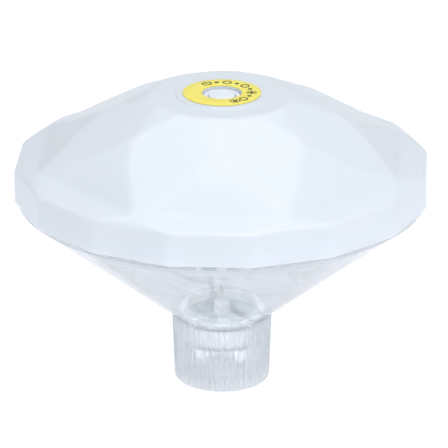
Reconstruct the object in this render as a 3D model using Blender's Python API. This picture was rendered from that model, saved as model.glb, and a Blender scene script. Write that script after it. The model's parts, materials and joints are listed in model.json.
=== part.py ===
"""Floating pool light, modelled as the pieces it comes apart into.

A white faceted float cover turns on a clear cone with a four-lug bayonet. The cone's neck carries
a lamp housing with two round boards and four LEDs, and a ribbed clear cap turns on the neck with a
three-lug bayonet. Behind the cover a deck plate holds three AA cells, and a push button works a
tact switch through a silicone boot. Millimetres are multiplied by MM, +Z is up, and the origin is
the middle of the flat foot.
"""
import math

import bmesh
import bpy
import numpy as np
from mathutils import Matrix, Vector

MM = 0.001
GAP = 0.3                      # running and seating gap between neighbouring pieces

# Float cover: sixteen-sided rim, eight flat kites round a sixteen-sided plateau
RIM_RADIUS = 85.0              # to the corners of the rim
RIM_HEIGHT = 14.0
PLATEAU_RADIUS = 29.5
PLATEAU_RISE = 42.2            # everything called a rise is measured from the seam
STAR_RADIUS = 48.6             # where two kites and a star point meet
SHOULDER_DISTANCE = 60.2       # middle of the short edge below each star point
SHOULDER_HALF_WIDTH = 11.4
KITE_RADIUS = 78.2             # lowest corner of a kite
KITE_RISE = 17.1
COVER_WALL = 2.2
SECTORS = 8
SECTOR = 360.0 / SECTORS
CORNER = SECTOR / 4.0          # rim and plateau corners stand this far from a sector's axis

# Lamp cap, neck and clear cone
SEAM = 81.3                    # height of the cone's top flange above the foot
NECK_Z = 29.7
CAP_RADIUS = 20.65
CAP_FOOT_RADIUS = 19.7
CAP_BORE = 19.0
RIBS = 60
RIB_DEPTH = 0.45
NECK_OUTER = 17.5
NECK_BORE = 16.2
NECK_END = 17.5
CONE_WALL_Z = 2.85             # upright thickness of the cone wall
FLANGE_RADIUS = 83.5
FLANGE_THICKNESS = 1.2
CONE_SLOPE = (SEAM - FLANGE_THICKNESS - NECK_Z) / (FLANGE_RADIUS - CAP_RADIUS)
SPIGOT_OUTER = 77.5
SPIGOT_BORE = 75.7
SPIGOT_RISE = 9.0
COVER_BORE = 80.5
LEDGE_RISE = 8.0

# Bayonets
COVER_LUGS = [45.0 + 90.0 * k for k in range(4)]
COVER_LUG_HALF = 8.0
COVER_LUG_LOW = SEAM + 3.0
COVER_LUG_TOP = SEAM + 5.0
NECK_LUGS = [60.0 + 120.0 * k for k in range(3)]
NECK_LUG_HALF = 13.0
CAP_LUG_LOW = 22.8             # the cap's lugs lie on the neck's
CAP_LUG_TOP = 24.6
NECK_LUG_DEPTH = 1.8
NECK_SEAL_Z = 27.2

# Lamp housing and boards
HOUSING_RADIUS = 15.9
HOUSING_LIP = 17.2
HOUSING_BORE = 14.4
HOUSING_LOW = 16.0
HOUSING_TOP = 31.4
LED_BOARD_Z = 17.2
DRIVER_BOARD_Z = 26.8
BOARD_THICKNESS = 1.6
LED_CIRCLE = 11.0
LED_RADIUS = 2.5
LED_TIP_Z = 10.0

# Deck, cells and battery box
DECK_RADIUS = 75.0
DECK_LOW = SEAM + 3.0
DECK_TOP = DECK_LOW + 2.0
POST_CIRCLE = 66.0
POST_ANGLES = [22.5 + 90.0 * k for k in range(4)]
POST_RADIUS = 3.4
POST_TOP = SEAM + 30.0         # inside the cover's wall
RAIL_HALF = 27.0
CELL_RADIUS = 7.1
CELL_LENGTH = 50.0
CELL_PITCH = 15.0
CELL_Z = SEAM + 2.7 + GAP + CELL_RADIUS
BOX_WALL = 1.6
BOX_HALF = (28.6, 23.6)        # inside of the battery box
BOX_LOW = DECK_TOP + GAP
BOX_TOP = CELL_Z + CELL_RADIUS + 0.6 + BOX_WALL
EAR_REACH = 37.0
EAR_HALF = 4.0
EAR_THICKNESS = 2.0
BOX_SCREW_X = 34.0
LEAD_HOLE_Z = CELL_Z + 3.5     # where a supply wire leaves the box
CONTACT_LOW = CELL_Z - 3.7
CONTACT_TOP = CELL_Z + 6.3
RIDGE_X = (20.0, 23.0, 26.0)   # thumb ridges of the battery door
DOOR_HALF = (31.0, 24.6)
DOOR_LOW = SEAM + 1.0
DOOR_TOP = DECK_LOW - GAP
GROMMET_X = -42.0

# Push button, boot and switch
PLATEAU_Z = SEAM + PLATEAU_RISE
PAD_RADIUS = 18.7
PAD_HEIGHT = 0.5
LABEL_OUTER = 15.9
LABEL_INNER = 8.1
BUTTON_WELL = 7.8
BUTTON_RADIUS = 5.4
SWITCH_BOARD_TOP = PLATEAU_Z - 9.3
SWITCH_POST_X = 13.0
WELL_FLOOR = PLATEAU_Z - 4.5   # underside of the collar round the button well

COLOURS = {                    # base colour, roughness, metallic, alpha
    "frosted_white": ((0.84, 0.87, 0.92), 0.35, 0.0, 1.0),
    "white_plastic": ((0.86, 0.87, 0.88), 0.45, 0.0, 1.0),
    "clear_plastic": ((0.93, 0.95, 0.97), 0.05, 0.0, 0.3),
    "yellow_print": ((0.90, 0.72, 0.13), 0.45, 0.0, 1.0),
    "button_white": ((0.80, 0.84, 0.86), 0.40, 0.0, 1.0),
    "silicone": ((0.62, 0.65, 0.68), 0.60, 0.0, 1.0),
    "black_rubber": ((0.05, 0.05, 0.06), 0.70, 0.0, 1.0),
    "board_green": ((0.10, 0.32, 0.16), 0.50, 0.0, 1.0),
    "chip_black": ((0.04, 0.04, 0.045), 0.50, 0.0, 1.0),
    "steel": ((0.70, 0.70, 0.70), 0.30, 1.0, 1.0),
    "led_clear": ((0.95, 0.97, 1.0), 0.10, 0.0, 1.0),
    "cell_wrap": ((0.20, 0.24, 0.30), 0.35, 0.0, 1.0),
    "wire_red": ((0.55, 0.05, 0.04), 0.50, 0.0, 1.0),
    "wire_black": ((0.05, 0.05, 0.05), 0.50, 0.0, 1.0),
    "wire_grey": ((0.55, 0.56, 0.57), 0.50, 0.0, 1.0),
}


# ---------------------------------------------------------------- shapes

def polar(radius, angle, z):
    """A point at an angle in degrees, counted from -Y towards +X."""
    turn = math.radians(angle)
    return Vector((radius * math.sin(turn), -radius * math.cos(turn), z)) * MM


def closed(bm):
    bmesh.ops.recalc_face_normals(bm, faces=bm.faces)
    return bm


def turned(outline, segments=48, rib_depth=0.0):
    """Turn an outline of (radius, z) round Z. It closes on itself unless it starts on the axis.

    A third value in an outline's point says how much of rib_depth every second vertex gives up.
    """
    bm = bmesh.new()
    rings = []
    for point in outline:
        radius, z = point[:2]
        share = point[2] if len(point) > 2 else 0.0
        if radius == 0:
            rings.append([bm.verts.new((0, 0, z * MM))] * segments)
            continue
        rings.append([bm.verts.new(polar(radius - rib_depth * share * (i % 2), 360 * i / segments, z))
                      for i in range(segments)])
    following = rings[1:] if outline[0][0] == 0 else rings[1:] + rings[:1]
    for ring, after in zip(rings, following):
        for i in range(segments):
            j = (i + 1) % segments
            corners = dict.fromkeys([ring[i], ring[j], after[j], after[i]])
            bm.faces.new(list(corners))
    return closed(bm)


def prism(outline, low, high):
    """Stand a flat outline of (x, y) up between two heights."""
    bm = bmesh.new()
    base = bm.faces.new([bm.verts.new(Vector((x, y, low)) * MM) for x, y in outline])
    grown = bmesh.ops.extrude_face_region(bm, geom=[base])["geom"]
    tops = [item for item in grown if isinstance(item, bmesh.types.BMVert)]
    bmesh.ops.translate(bm, verts=tops, vec=Vector((0, 0, high - low)) * MM)
    return closed(bm)


def block(low, high):
    (x0, y0, z0), (x1, y1, z1) = low, high
    return prism([(x0, y0), (x1, y0), (x1, y1), (x0, y1)], z0, z1)


def side_block(side, near, far, front, back, low, high):
    """A block whose x runs between two distances on the side -1 or 1 of the middle."""
    return block((min(side * near, side * far), front, low), (max(side * near, side * far), back, high))


def rod(x, y, radius, low, high, segments=20):
    """An upright round bar."""
    bm = turned([(0, low), (radius, low), (radius, high), (0, high)], segments)
    bmesh.ops.translate(bm, verts=bm.verts, vec=Vector((x, y, 0)) * MM)
    return bm


def arc_block(inner, outer, low, high, start, end, steps=6):
    """A block bent round Z between two angles."""
    angles = [start + (end - start) * i / steps for i in range(steps + 1)]
    ring = [polar(outer, a, 0) for a in angles] + [polar(inner, a, 0) for a in reversed(angles)]
    return prism([(p.x / MM, p.y / MM) for p in ring], low, high)


def gathered(shapes):
    """Put several shapes that stand apart from each other into one."""
    total = bmesh.new()
    for shape in shapes:
        mesh = bpy.data.meshes.new("part_of_group")
        shape.to_mesh(mesh)
        shape.free()
        total.from_mesh(mesh)
        bpy.data.meshes.remove(mesh)
    return total


def object_from(name, bm):
    mesh = bpy.data.meshes.new(name)
    bm.to_mesh(mesh)
    bm.free()
    item = bpy.data.objects.new(name, mesh)
    bpy.context.collection.objects.link(item)
    return item


def combined(target, tool, operation):
    """Union two shapes, or cut the tool out of the target, and give the result as a shape."""
    target_object = object_from("target", target)
    tool_object = object_from("tool", tool)
    modifier = target_object.modifiers.new("combine", "BOOLEAN")
    modifier.operation = operation
    modifier.solver = "EXACT"
    modifier.object = tool_object
    bpy.context.view_layer.update()
    depsgraph = bpy.context.evaluated_depsgraph_get()
    result = bmesh.new()
    result.from_object(target_object, depsgraph)
    for item in (target_object, tool_object):
        mesh = item.data
        bpy.data.objects.remove(item)
        bpy.data.meshes.remove(mesh)
    bmesh.ops.remove_doubles(result, verts=result.verts, dist=0.001 * MM)
    return result


def cut(target, *tools):
    return combined(target, gathered(tools), "DIFFERENCE")


def joined(target, *tools):
    return combined(target, gathered(tools), "UNION")


# ---------------------------------------------------------------- placing

def clear_scene():
    for item in list(bpy.data.objects):
        bpy.data.objects.remove(item)


def material(name):
    if name in bpy.data.materials:
        return bpy.data.materials[name]
    colour, roughness, metallic, alpha = COLOURS[name]
    result = bpy.data.materials.new(name)
    result.use_nodes = True
    shader = result.node_tree.nodes["Principled BSDF"]
    shader.inputs["Base Color"].default_value = (*colour, 1.0)
    shader.inputs["Roughness"].default_value = roughness
    shader.inputs["Metallic"].default_value = metallic
    shader.inputs["Alpha"].default_value = alpha
    return result


def body(name, location=(0, 0, 0), parent=None):
    """An empty on a joint's axis. Location is in the part's frame, in millimetres."""
    empty = bpy.data.objects.new(name, None)
    bpy.context.collection.objects.link(empty)
    place = Vector(location) * MM
    empty.location = place - (parent.matrix_world.translation if parent else Vector())
    empty.parent = parent
    bpy.context.view_layer.update()
    return empty


def piece(name, bm, material_name, parent, smooth_angle=30.0):
    """Make a named solid from a shape in the part's frame, with its origin on its body's axis."""
    origin = parent.matrix_world.translation
    bmesh.ops.translate(bm, verts=bm.verts, vec=-origin)
    item = object_from(name, bm)
    item.parent = parent
    item.data.materials.append(material(material_name))
    item.data.shade_smooth()
    item.data.set_sharp_from_angle(angle=math.radians(smooth_angle))
    return item


def wire(name, route, radius, material_name, parent):
    """A thin wire along a smooth curve through the route's points."""
    points = smooth_route(route)
    curve = bpy.data.curves.new(name, "CURVE")
    curve.dimensions = "3D"
    curve.bevel_depth = radius * MM
    curve.bevel_resolution = 1
    curve.use_fill_caps = True
    spline = curve.splines.new("POLY")
    spline.points.add(len(points) - 1)
    for spot, place in zip(spline.points, points):
        spot.co = (*(place * MM - parent.matrix_world.translation), 1.0)
    item = bpy.data.objects.new(name, curve)
    bpy.context.collection.objects.link(item)
    item.parent = parent
    curve.materials.append(material(material_name))
    return item


def smooth_route(route, steps=4):
    """Points on a Catmull-Rom curve through the route."""
    knots = [Vector(p) for p in route]
    knots = [knots[0] * 2 - knots[1]] + knots + [knots[-1] * 2 - knots[-2]]
    points = []
    for before, start, end, after in zip(knots, knots[1:], knots[2:], knots[3:]):
        for i in range(steps):
            t = i / steps
            points.append((start * 2 + (end - before) * t
                           + (before * 2 - start * 5 + end * 4 - after) * t ** 2
                           + (start * 3 - before - end * 3 + after) * t ** 3) / 2)
    points.append(knots[-2])
    return points


# ---------------------------------------------------------------- float cover

def cover_corners():
    """Corners of the faceted cover, by letter and number, in millimetres from the seam."""
    plateau_edge = PLATEAU_RADIUS * math.cos(math.radians(CORNER))
    slope = (PLATEAU_RISE - KITE_RISE) / (KITE_RADIUS - plateau_edge)

    def on_kite(radius, from_kite_axis):
        """Height of the kite's plane at a point."""
        reach = radius * math.cos(math.radians(from_kite_axis))
        return PLATEAU_RISE - slope * (reach - plateau_edge)

    half = SECTOR / 2
    shoulder_radius = math.hypot(SHOULDER_DISTANCE, SHOULDER_HALF_WIDTH)
    shoulder_angle = math.degrees(math.atan2(SHOULDER_HALF_WIDTH, SHOULDER_DISTANCE))
    shoulder_rise = on_kite(shoulder_radius, half - shoulder_angle)
    corners = {}
    for i in range(SECTORS):
        axis = i * SECTOR
        corners["star", i] = polar(STAR_RADIUS, axis, on_kite(STAR_RADIUS, half))
        corners["left", i] = polar(shoulder_radius, axis - shoulder_angle, shoulder_rise)
        corners["right", i] = polar(shoulder_radius, axis + shoulder_angle, shoulder_rise)
        corners["kite", i] = polar(KITE_RADIUS, axis + half, KITE_RISE)
    for j in range(2 * SECTORS):
        angle = (2 * j - 1) * CORNER
        corners["plateau", j] = polar(PLATEAU_RADIUS, angle, PLATEAU_RISE)
        corners["rim", j] = polar(RIM_RADIUS, angle, RIM_HEIGHT)
        corners["base", j] = polar(RIM_RADIUS, angle, GAP)
    return corners


def cover_facets():
    """Every facet of the cover as a ring of corners, seen anticlockwise from outside."""
    facets = []
    for i in range(SECTORS):
        here, after, before = 2 * i, (2 * i + 1) % (2 * SECTORS), (i - 1) % SECTORS
        beyond, ahead = (2 * i + 2) % (2 * SECTORS), (i + 1) % SECTORS
        facets += [
            [("star", i), ("plateau", after), ("plateau", here)],
            [("kite", i), ("left", ahead), ("star", ahead), ("plateau", beyond),
             ("plateau", after), ("star", i), ("right", i)],
            [("left", i), ("right", i), ("star", i)],
            [("kite", before), ("kite", i), ("right", i), ("left", i)],
            [("rim", here), ("rim", after), ("kite", i), ("kite", before)],
            [("rim", after), ("rim", beyond), ("kite", i)],
        ]
    count = 2 * SECTORS
    facets += [[("base", j), ("base", (j + 1) % count), ("rim", (j + 1) % count), ("rim", j)]
               for j in range(count)]
    facets.append([("plateau", j) for j in range(count)])
    facets.append([("base", j) for j in reversed(range(count))])
    return facets


def facet_normal(points):
    total = Vector()
    for a, b in zip(points, points[1:] + points[:1]):
        total += a.cross(b)
    return total.normalized()


def moved_inwards(corners, facets, wall):
    """Corners of the same body with every facet moved inwards by a wall's thickness."""
    planes = {name: [] for name in corners}
    for facet in facets:
        normal = facet_normal([corners[name] for name in facet])
        for name in facet:
            planes[name].append((normal, normal.dot(corners[name]) - wall))
    result = {}
    for name, sides in planes.items():
        normals = np.array([list(side[0]) for side in sides])
        reaches = np.array([side[1] for side in sides])
        result[name] = Vector(np.linalg.lstsq(normals, reaches, rcond=None)[0])
    return result


def faceted_body(corners, facets):
    bm = bmesh.new()
    lift = Vector((0, 0, SEAM * MM))
    verts = {name: bm.verts.new(place + lift) for name, place in corners.items()}
    for facet in facets:
        bm.faces.new([verts[name] for name in facet])
    return bm


def cover_cavity():
    """The room inside the cover: its facets moved inwards, over a round bore."""
    facets = cover_facets()
    inner = moved_inwards(cover_corners(), facets, COVER_WALL * MM)
    for name, place in inner.items():
        if name[0] == "base":
            place.z = LEDGE_RISE * MM
    bore = turned([(0, SEAM - 2), (COVER_BORE, SEAM - 2), (COVER_BORE, SEAM + LEDGE_RISE + 0.8),
                   (0, SEAM + LEDGE_RISE + 0.8)], 64)
    return joined(faceted_body(inner, facets), bore)


def cover_inside_features():
    """Lugs, deck posts, switch posts and the collar round the button well."""
    top = PLATEAU_Z - 1.0
    lugs = [arc_block(COVER_BORE - 2.2, COVER_BORE + 1.0, COVER_LUG_LOW, COVER_LUG_TOP,
                      a - COVER_LUG_HALF, a + COVER_LUG_HALF) for a in COVER_LUGS]
    posts = []
    for angle in POST_ANGLES:
        place = polar(POST_CIRCLE, angle, 0) / MM
        posts.append(rod(place.x, place.y, POST_RADIUS, DECK_TOP + GAP, POST_TOP, 16))
    switch_posts = [rod(side * SWITCH_POST_X, 0, 2.6, SWITCH_BOARD_TOP + GAP, top, 16)
                    for side in (-1, 1)]
    collar = turned([(BUTTON_WELL, WELL_FLOOR), (BUTTON_WELL + 1.8, WELL_FLOOR),
                     (BUTTON_WELL + 1.8, top), (BUTTON_WELL, top)], 32)
    return gathered(lugs + posts + switch_posts + [collar])


def make_top_cover(parent):
    shell = faceted_body(cover_corners(), cover_facets())
    pad = turned([(0, PLATEAU_Z - 0.5), (PAD_RADIUS, PLATEAU_Z - 0.5), (PAD_RADIUS, PLATEAU_Z + PAD_HEIGHT),
                  (0, PLATEAU_Z + PAD_HEIGHT)], 64)
    shell = joined(shell, pad)
    shell = cut(shell, cut(cover_cavity(), cover_inside_features()))
    well = rod(0, 0, BUTTON_WELL, PLATEAU_Z - 4.0, PLATEAU_Z + 2, 32)
    pilots = [rod(side * SWITCH_POST_X, 0, 1.2, SWITCH_BOARD_TOP - 1, PLATEAU_Z - 3.5, 12)
              for side in (-1, 1)]
    for angle in POST_ANGLES:
        place = polar(POST_CIRCLE, angle, 0) / MM
        pilots.append(rod(place.x, place.y, 1.5, DECK_TOP - 1, DECK_TOP + 8, 12))
    shell = cut(shell, well, *pilots)
    piece("top_cover", shell, "frosted_white", parent, 5.0)


# ---------------------------------------------------------------- lens cap and clear cone

def make_lens_cap(parent):
    """Ribbed clear cap with the flat foot that the light stands on."""
    top = NECK_Z - GAP
    outline = [
        (0, 0.0), (15.8, 0.0), (18.4, 1.0), (CAP_FOOT_RADIUS, 3.6), (CAP_FOOT_RADIUS + 0.05, 4.4, 1.0),
        (CAP_RADIUS, top, 1.0), (CAP_BORE, top), (CAP_BORE - 0.5, 5.0), (17.2, 2.9), (10.2, 2.4),
        (10.0, 1.9), (0, 1.9),
    ]
    shell = turned(outline, 2 * RIBS, RIB_DEPTH)
    lugs = [arc_block(NECK_OUTER + GAP, CAP_BORE + 0.4, CAP_LUG_LOW, CAP_LUG_TOP,
                      a - NECK_LUG_HALF, a + NECK_LUG_HALF) for a in NECK_LUGS]
    piece("lens_cap", joined(shell, *lugs), "clear_plastic", parent)


def cone_height(radius):
    return NECK_Z + (radius - CAP_RADIUS) * CONE_SLOPE


def make_lower_shell(parent):
    """Clear cone: neck tube below, flange and spigot above, lugs of both bayonets."""
    inner_low = cone_height(NECK_BORE) + CONE_WALL_Z
    inner_high = cone_height(SPIGOT_BORE) + CONE_WALL_Z
    outline = [
        (NECK_BORE, NECK_END), (NECK_OUTER, NECK_END), (NECK_OUTER, NECK_Z), (CAP_RADIUS, NECK_Z),
        (FLANGE_RADIUS, SEAM - FLANGE_THICKNESS), (FLANGE_RADIUS, SEAM), (SPIGOT_OUTER, SEAM),
        (SPIGOT_OUTER, SEAM + SPIGOT_RISE), (SPIGOT_BORE, SEAM + SPIGOT_RISE),
        (SPIGOT_BORE, inner_high), (NECK_BORE, inner_low),
    ]
    shell = turned(outline, 64)
    lugs = []
    for a in COVER_LUGS:
        start = a - COVER_LUG_HALF - 2.0
        lugs.append(arc_block(SPIGOT_OUTER - 0.8, COVER_BORE - 0.4, COVER_LUG_TOP + GAP,
                              COVER_LUG_TOP + 2.2, start, a + COVER_LUG_HALF))
        lugs.append(arc_block(SPIGOT_OUTER - 0.8, COVER_BORE - 0.4, COVER_LUG_LOW + 0.2,
                              COVER_LUG_TOP + 1.0, start, a - COVER_LUG_HALF - 0.25, 2))
    for a in NECK_LUGS:
        end, top = a + NECK_LUG_HALF + 3.0, CAP_LUG_LOW - GAP
        lugs.append(arc_block(NECK_OUTER - 0.6, CAP_BORE - 0.4, top - NECK_LUG_DEPTH, top,
                              a - NECK_LUG_HALF, end))
        lugs.append(arc_block(NECK_OUTER - 0.6, CAP_BORE - 0.4, top - 1.0, CAP_LUG_TOP,
                              a + NECK_LUG_HALF + 1.0, end, 2))
    for lug in lugs:
        shell = joined(shell, lug)
    piece("lower_shell", shell, "clear_plastic", parent)


def make_seals(parent):
    rim = [(SPIGOT_OUTER + GAP, SEAM + GAP), (COVER_BORE - GAP, SEAM + GAP),
           (COVER_BORE - GAP, SEAM + 2.4), (SPIGOT_OUTER + GAP, SEAM + 2.4)]
    piece("rim_seal", turned(rim, 48), "silicone", parent)
    middle, half = (NECK_OUTER + CAP_BORE) / 2, (CAP_BORE - NECK_OUTER) / 2 - 0.25
    ring = [(middle + half * math.cos(t), NECK_SEAL_Z + half * math.sin(t))
            for t in (k * math.tau / 6 for k in range(6))]
    piece("neck_seal", turned(ring, 32), "silicone", parent)


# ---------------------------------------------------------------- lamp

def make_lamp(parent):
    """Housing in the neck, its two round boards and what is soldered to them."""
    ledge = HOUSING_BORE - 1.6
    ledge_low = LED_BOARD_Z + BOARD_THICKNESS + 0.4
    ledge_top = DRIVER_BOARD_Z - 0.4
    lip_low = HOUSING_TOP - 1.0
    housing = [
        (HOUSING_BORE, HOUSING_LOW), (HOUSING_RADIUS, HOUSING_LOW), (HOUSING_RADIUS, lip_low - 0.4),
        (HOUSING_LIP, lip_low), (HOUSING_LIP, HOUSING_TOP), (HOUSING_BORE, HOUSING_TOP),
        (HOUSING_BORE, ledge_top), (ledge, ledge_top), (ledge, ledge_low), (HOUSING_BORE, ledge_low),
    ]
    piece("lamp_housing", turned(housing, 36), "white_plastic", parent)
    piece("led_board", rod(0, 0, HOUSING_BORE - GAP, LED_BOARD_Z, LED_BOARD_Z + BOARD_THICKNESS, 40),
          "white_plastic", parent)
    piece("driver_board",
          rod(0, 0, HOUSING_BORE - GAP, DRIVER_BOARD_Z, DRIVER_BOARD_Z + BOARD_THICKNESS, 40),
          "board_green", parent)
    for k in range(4):
        place = polar(LED_CIRCLE, SECTOR + 90 * k, 0)
        bulb = turned(led_outline(), 12)
        bmesh.ops.translate(bulb, verts=bulb.verts, vec=place)
        piece(f"led_{k + 1}", bulb, "led_clear", parent)
    top = DRIVER_BOARD_Z + BOARD_THICKNESS + GAP
    piece("driver_chip", block((5.0, -3.0, top), (10.0, 3.0, top + 1.4)), "chip_black", parent)
    piece("driver_capacitor", rod(-3.0, 7.5, 2.5, top, top + 4.6, 16), "steel", parent)
    socket = [(2.4, top), (3.4, top), (3.4, top + 4.0), (2.4, top + 4.0)]
    piece("lead_socket", turned(socket, 24), "white_plastic", parent)
    for k, side in enumerate((-1, 1)):
        pin = rod(side * 2.0, -6.0, 0.5, LED_BOARD_Z + BOARD_THICKNESS + GAP, DRIVER_BOARD_Z - GAP, 8)
        piece(f"board_pin_{k + 1}", pin, "steel", parent)


def led_outline():
    """Half outline of a 5 mm LED that hangs below its board: domed tip, then the body and its rim."""
    dome = [(LED_RADIUS * math.sin(t), LED_TIP_Z + LED_RADIUS * (1 - math.cos(t)))
            for t in (k * math.pi / 6 for k in range(1, 4))]
    top = LED_BOARD_Z - GAP
    return [(0, LED_TIP_Z)] + dome + [(LED_RADIUS, top - 1.0), (2.9, top - 1.0), (2.9, top), (0, top)]


# ---------------------------------------------------------------- deck and battery box

def screw(x, y, head_z, tip_z, head_radius=2.4, shank=1.0):
    """A pan-head screw. It points up when its tip is above its head."""
    way = 1 if tip_z > head_z else -1
    outline = [(0, head_z - way * 1.4), (head_radius * 0.7, head_z - way * 1.4),
               (head_radius, head_z - way * 0.6), (head_radius, head_z), (shank, head_z),
               (shank, tip_z - way * 1.0), (0, tip_z)]
    bm = turned(outline, 12)
    bmesh.ops.translate(bm, verts=bm.verts, vec=Vector((x, y, 0)) * MM)
    return bm


def make_deck(parent):
    """White plate under the cover, with a window for the cells and two rails for the door."""
    plate = turned([(0, DECK_LOW), (DECK_RADIUS, DECK_LOW), (DECK_RADIUS, DECK_TOP), (0, DECK_TOP)], 48)
    rails = []
    for side in (-1, 1):
        inner, outer = side * (DOOR_HALF[1] + GAP), side * (DOOR_HALF[1] + 2.2)
        lip = side * (DOOR_HALF[1] - 1.6)
        low, step = DOOR_LOW - 1.5, DOOR_LOW - GAP
        profile = [(inner, DECK_LOW + 0.5), (inner, step), (lip, step), (lip, low), (outer, low),
                   (outer, DECK_LOW + 0.5)]
        bm = bmesh.new()
        face = bm.faces.new([bm.verts.new(Vector((-RAIL_HALF, y, z)) * MM) for y, z in profile])
        grown = bmesh.ops.extrude_face_region(bm, geom=[face])["geom"]
        ends = [item for item in grown if isinstance(item, bmesh.types.BMVert)]
        bmesh.ops.translate(bm, verts=ends, vec=Vector((2 * RAIL_HALF, 0, 0)) * MM)
        rails.append(closed(bm))
    plate = joined(plate, *rails)
    low, high = DECK_LOW - 1, DECK_TOP + 1
    holes = [block((-BOX_HALF[0], -BOX_HALF[1], low), (BOX_HALF[0], BOX_HALF[1], high)),
             rod(GROMMET_X, 0, 3.2, low, high, 16)]
    for angle in POST_ANGLES:
        place = polar(POST_CIRCLE, angle, 0) / MM
        holes.append(rod(place.x, place.y, 1.6, low, high, 12))
    holes += [rod(side * BOX_SCREW_X, 0, 1.3, low, high, 12) for side in (-1, 1)]
    piece("deck_plate", cut(plate, *holes), "white_plastic", parent)
    for k, angle in enumerate(POST_ANGLES):
        place = polar(POST_CIRCLE, angle, 0) / MM
        piece(f"deck_screw_{k + 1}", screw(place.x, place.y, DECK_LOW - GAP, DECK_TOP + 7.0),
              "steel", parent)
    grommet = [(1.8, DECK_LOW - 1.2), (4.4, DECK_LOW - 1.2), (4.4, DECK_LOW - 0.2),
               (2.9, DECK_LOW - 0.2), (2.9, DECK_TOP + 0.2), (4.4, DECK_TOP + 0.2),
               (4.4, DECK_TOP + 1.2), (1.8, DECK_TOP + 1.2)]
    bm = turned(grommet, 12)
    bmesh.ops.translate(bm, verts=bm.verts, vec=Vector((GROMMET_X, 0, 0)) * MM)
    piece("lead_grommet", bm, "black_rubber", parent)


def make_battery_box(parent):
    """Open-bottomed box on the deck, held by a screw through an ear at each end."""
    (half_x, half_y), wall = BOX_HALF, BOX_WALL
    box = block((-half_x - wall, -half_y - wall, BOX_LOW), (half_x + wall, half_y + wall, BOX_TOP))
    box = joined(box, *[side_block(side, half_x + 0.4, EAR_REACH, -EAR_HALF, EAR_HALF,
                                   BOX_LOW, BOX_LOW + EAR_THICKNESS) for side in (-1, 1)])
    box = cut(box, block((-half_x, -half_y, BOX_LOW - 1), (half_x, half_y, BOX_TOP - wall)))
    holes = [rod(side * BOX_SCREW_X, 0, 1.3, BOX_LOW - 1, BOX_LOW + 3, 12) for side in (-1, 1)]
    for side in (-1, 1):
        y = -side * CELL_PITCH
        holes.append(side_block(side, half_x - 1, half_x + wall + 1, y - 1, y + 1,
                                LEAD_HOLE_Z - 1, LEAD_HOLE_Z + 1))
    piece("battery_box", cut(box, *holes), "white_plastic", parent)
    for k, side in enumerate((-1, 1)):
        seat = BOX_LOW + EAR_THICKNESS + GAP
        piece(f"box_screw_{k + 1}", screw(side * BOX_SCREW_X, 0, seat, DECK_LOW + 0.2, 2.2, 0.9),
              "steel", parent)


def make_cells(parent):
    """Three AA cells in series, with the springs and plates that join them."""
    nub, shoulder = 2.7, 1.2
    for k in range(3):
        way = 1 if k != 1 else -1
        y = (k - 1) * CELL_PITCH
        reach = BOX_HALF[0] - 1.0
        outline = [(0, reach - CELL_LENGTH), (CELL_RADIUS, reach - CELL_LENGTH),
                   (CELL_RADIUS, reach - shoulder), (nub, reach - shoulder), (nub, reach), (0, reach)]
        cell = turned(outline, 24)
        lay = Matrix.Translation(Vector((0, y, CELL_Z)) * MM) @ Matrix.Rotation(way * math.pi / 2, 4, "Y")
        bmesh.ops.transform(cell, matrix=lay, verts=cell.verts)
        piece(f"battery_{k + 1}", cell, "cell_wrap", parent)
        start = reach - CELL_LENGTH - GAP
        coil = spring_coil(start - 4.6, start, 4.2, 2.6, 3.5)
        bmesh.ops.transform(coil, matrix=lay, verts=coil.verts)
        piece(f"contact_spring_{k + 1}", coil, "steel", parent)
    plates = [(1, -1.4, -0.7), (1, -0.35, 1.35), (-1, -1.35, 0.35), (-1, 0.7, 1.4)]
    for k, (side, first, last) in enumerate(plates):
        plate = side_block(side, BOX_HALF[0] - 0.7, BOX_HALF[0] - 0.3, first * CELL_PITCH,
                           last * CELL_PITCH, CONTACT_LOW, CONTACT_TOP)
        piece(f"contact_plate_{k + 1}", plate, "steel", parent)


def spring_coil(low, high, first_radius, last_radius, turns, wire_radius=0.4, sides=4):
    """A conical coil of wire round Z, as one closed tube."""
    steps = int(turns * 10)
    bm = bmesh.new()
    rings = []
    for i in range(steps + 1):
        t = i / steps
        angle = t * turns * math.tau
        radius = first_radius + (last_radius - first_radius) * t
        centre = Vector((radius * math.cos(angle), radius * math.sin(angle),
                         low + wire_radius + (high - low - 2 * wire_radius) * t))
        out = Vector((math.cos(angle), math.sin(angle), 0))
        ring = []
        for k in range(sides):
            swing = k * math.tau / sides
            offset = out * math.cos(swing) + Vector((0, 0, 1)) * math.sin(swing)
            ring.append(bm.verts.new((centre + offset * wire_radius) * MM))
        rings.append(ring)
    for ring, after in zip(rings, rings[1:]):
        for k in range(sides):
            m = (k + 1) % sides
            bm.faces.new([ring[k], ring[m], after[m], after[k]])
    bm.faces.new(rings[0])
    bm.faces.new(list(reversed(rings[-1])))
    return closed(bm)


def make_battery_door(parent):
    """Flat door between the deck's rails, with three ridges for the thumb."""
    half_x, half_y = DOOR_HALF
    door = block((-half_x, -half_y, DOOR_LOW), (half_x, half_y, DOOR_TOP))
    ridges = [block((x - 0.6, -9.0, DOOR_LOW - 0.9), (x + 0.6, 9.0, DOOR_LOW + 0.5)) for x in RIDGE_X]
    piece("battery_door", joined(door, *ridges), "white_plastic", parent)


# ---------------------------------------------------------------- button and switch

def make_label(parent):
    low = PLATEAU_Z + PAD_HEIGHT + 0.1
    ring = [(LABEL_INNER, low), (LABEL_OUTER, low), (LABEL_OUTER, low + 0.25), (LABEL_INNER, low + 0.25)]
    piece("label_ring", turned(ring, 48), "yellow_print", parent)


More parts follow.
